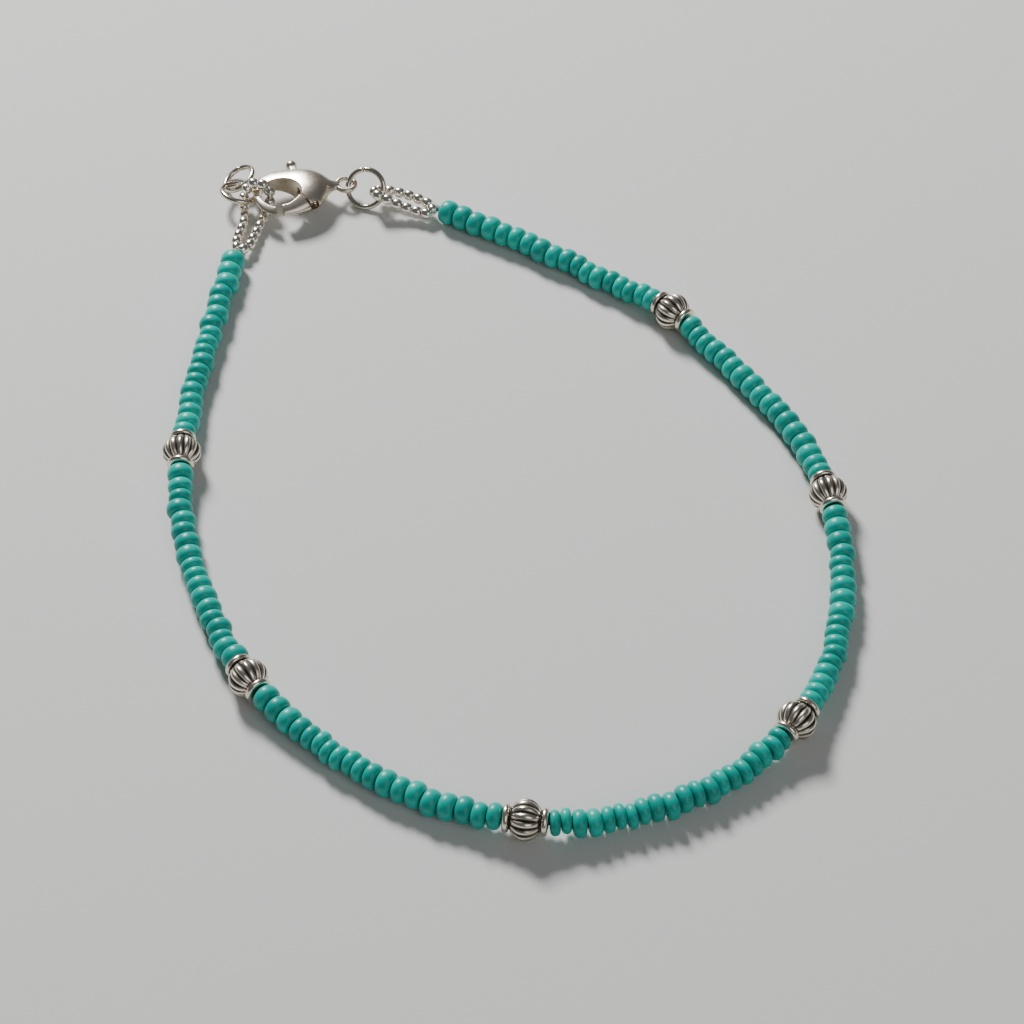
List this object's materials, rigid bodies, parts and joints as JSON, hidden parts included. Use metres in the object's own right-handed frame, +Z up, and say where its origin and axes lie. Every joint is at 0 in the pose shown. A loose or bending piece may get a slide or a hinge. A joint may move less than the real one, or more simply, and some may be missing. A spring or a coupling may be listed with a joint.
{
  "type": "beaded anklet",
  "caption": "Closed string of turquoise seed beads with spaced fluted silver beads, small silver bead loops at its ends, jump rings and a lobster clasp with a sprung lever.",
  "frame": {"origin": "centre of the footprint, on the surface it lies on", "axes": "+Z up from the surface, +Y toward the clasp side of the loop, +X to the viewer's right in the picture"},
  "size_m": [0.0674, 0.0884, 0.0039],
  "materials": {
    "turquoise_glass": "opaque glossy turquoise glass seed beads",
    "antique_silver": "antiqued silver with dark grooves",
    "small_silver_beads": "bright silver",
    "silver_wire": "polished silver wire",
    "satin_silver": "satin polished silver"
  },
  "bodies": {
    "anklet": {"turquoise_strand": "turquoise_glass", "silver_bead_1": "antique_silver", "silver_bead_2": "antique_silver", "silver_bead_3": "antique_silver", "silver_bead_4": "antique_silver", "silver_bead_5": "antique_silver", "silver_bead_6": "antique_silver", "bead_loop_left": "small_silver_beads", "bead_loop_right": "small_silver_beads", "clasp_ring": "silver_wire", "end_ring_near": "silver_wire", "end_ring_far": "silver_wire", "clasp_body": "satin_silver"},
    "lever": {"clasp_lever": "satin_silver"}
  },
  "joints": [
    {"name": "lever_pivot", "type": "hinge", "parent": "anklet", "child": "lever", "pos_m": [-0.02101, 0.03791, 0.00191], "axis": [-0.0336, -0.0095, -0.9994], "range_deg": [0, 20], "stiffness_Nm_per_rad": 0.0005, "springref_deg": -22.92}
  ]
}
